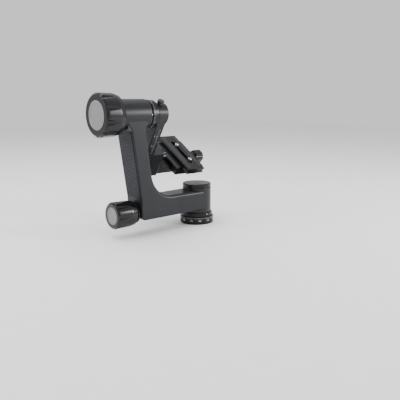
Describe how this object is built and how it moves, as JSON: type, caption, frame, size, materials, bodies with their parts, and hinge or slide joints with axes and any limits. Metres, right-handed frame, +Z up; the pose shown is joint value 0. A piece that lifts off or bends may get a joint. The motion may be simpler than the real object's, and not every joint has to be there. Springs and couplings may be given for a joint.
{
  "type": "gimbal tripod head",
  "caption": "Gimbal head: L-frame panning on a round base, swing arm tilting on a tube with a large knob, height-adjustable cradle with dovetail clamp and sliding plate.",
  "frame": {"origin": "centre of the base's bottom face, on the pan axis, at the mouth of the tripod thread", "axes": "+Z up along the pan axis; X along the tilt axis, with the upright and both big knobs on the -X side; +Y towards the front of the lens"},
  "size_m": [0.2527, 0.1248, 0.2283],
  "materials": {
    "cast_black": "fine textured satin powder coat",
    "turned_black": "semi gloss black",
    "knob_rubber": "smooth semi gloss moulded rubber",
    "disc_grey": "satin light grey",
    "grip_rubber": "ribbed matt rubber",
    "clamp_black": "black anodised",
    "steel": "machined steel",
    "thumb_black": "knurled black",
    "brass": "machined brass",
    "aluminium": "machined aluminium"
  },
  "bodies": {
    "base": {"pan_base": "turned_black", "pan_index_ring": "turned_black", "pan_spindle": "steel", "base_screws": "steel", "pan_retaining_nut": "steel"},
    "frame": {"frame": "cast_black", "pan_skirt": "turned_black", "pan_cap": "turned_black", "pan_bearing_lower": "steel", "pan_bearing_upper": "steel", "pan_brake_shoe": "brass", "pan_lock_insert": "brass", "pan_lock_collar": "turned_black", "tilt_bearing_outer": "steel", "tilt_bearing_inner": "steel", "tilt_bearing_spacer": "aluminium", "upright_grip": "grip_rubber"},
    "pan_knob": {"pan_knob": "knob_rubber", "pan_knob_disc": "disc_grey", "pan_lock_rod": "steel"},
    "swing_arm": {"swing_arm": "cast_black", "tilt_shaft": "steel", "tilt_index_ring": "turned_black", "arm_hub_screw": "steel", "tilt_thrust_sleeve": "aluminium", "arm_end_stop": "clamp_black", "arm_stop_screws": "steel"},
    "tilt_knob": {"tilt_knob": "knob_rubber", "tilt_knob_disc": "disc_grey", "tilt_knob_insert": "brass"},
    "thumb_screw": {"arm_thumb_screw": "thumb_black"},
    "cradle": {"cradle": "cast_black", "height_lock_pad": "brass", "clamp_body": "clamp_black", "clamp_fixed_jaw": "clamp_black", "clamp_guide_pins": "steel", "clamp_mount_screws": "steel"},
    "height_knob": {"height_knob": "knob_rubber", "height_lock_screw": "steel"},
    "clamp_jaw": {"clamp_jaw": "clamp_black"},
    "clamp_knob": {"clamp_knob": "knob_rubber", "clamp_screw": "steel"},
    "plate": {"release_plate": "clamp_black", "plate_pad_left": "grip_rubber", "plate_pad_right": "grip_rubber", "camera_screw_1": "steel", "camera_screw_2": "steel", "plate_stop_screws": "steel"}
  },
  "joints": [
    {"name": "pan", "type": "hinge", "parent": "base", "child": "frame", "pos_m": [0, 0, 0.037], "axis": [0, 0, 1], "continuous": true},
    {"name": "pan_knob_turn", "type": "hinge", "parent": "frame", "child": "pan_knob", "pos_m": [-0.16, 0, 0.037], "axis": [-1, 0, 0], "range_deg": [0, 540]},
    {"name": "tilt", "type": "hinge", "parent": "frame", "child": "swing_arm", "pos_m": [-0.137, 0, 0.1946], "axis": [1, 0, 0], "continuous": true},
    {"name": "tilt_knob_turn", "type": "hinge", "parent": "swing_arm", "child": "tilt_knob", "pos_m": [-0.18, 0, 0.1946], "axis": [-1, 0, 0], "range_deg": [0, 540]},
    {"name": "thumb_screw_turn", "type": "hinge", "parent": "swing_arm", "child": "thumb_screw", "pos_m": [-0.087, 0, 0.1946], "axis": [0, -0.5299, 0.848], "range_deg": [0, 360]},
    {"name": "cradle_slide", "type": "slide", "parent": "swing_arm", "child": "cradle", "axis": [0, -0.5299, 0.848], "range_m": [-0.003, 0.034]},
    {"name": "height_knob_turn", "type": "hinge", "parent": "cradle", "child": "height_knob", "pos_m": [-0.05, 0.04584, 0.12124], "axis": [1, 0, 0], "range_deg": [0, 540]},
    {"name": "jaw_slide", "type": "slide", "parent": "cradle", "child": "clamp_jaw", "axis": [1, 0, 0], "range_m": [0, 0.005]},
    {"name": "clamp_knob_turn", "type": "hinge", "parent": "clamp_jaw", "child": "clamp_knob", "pos_m": [0.04, 0.05267, 0.1103], "axis": [1, 0, 0], "range_deg": [0, 1442]},
    {"name": "plate_slide", "type": "slide", "parent": "cradle", "child": "plate", "axis": [0, 0.848, 0.5299], "range_m": [-0.0045, 0.0085]}
  ],
  "couplings": [
    {"joint": "clamp_knob_turn", "follows": "jaw_slide", "rad_per_m": 5026.5}
  ]
}
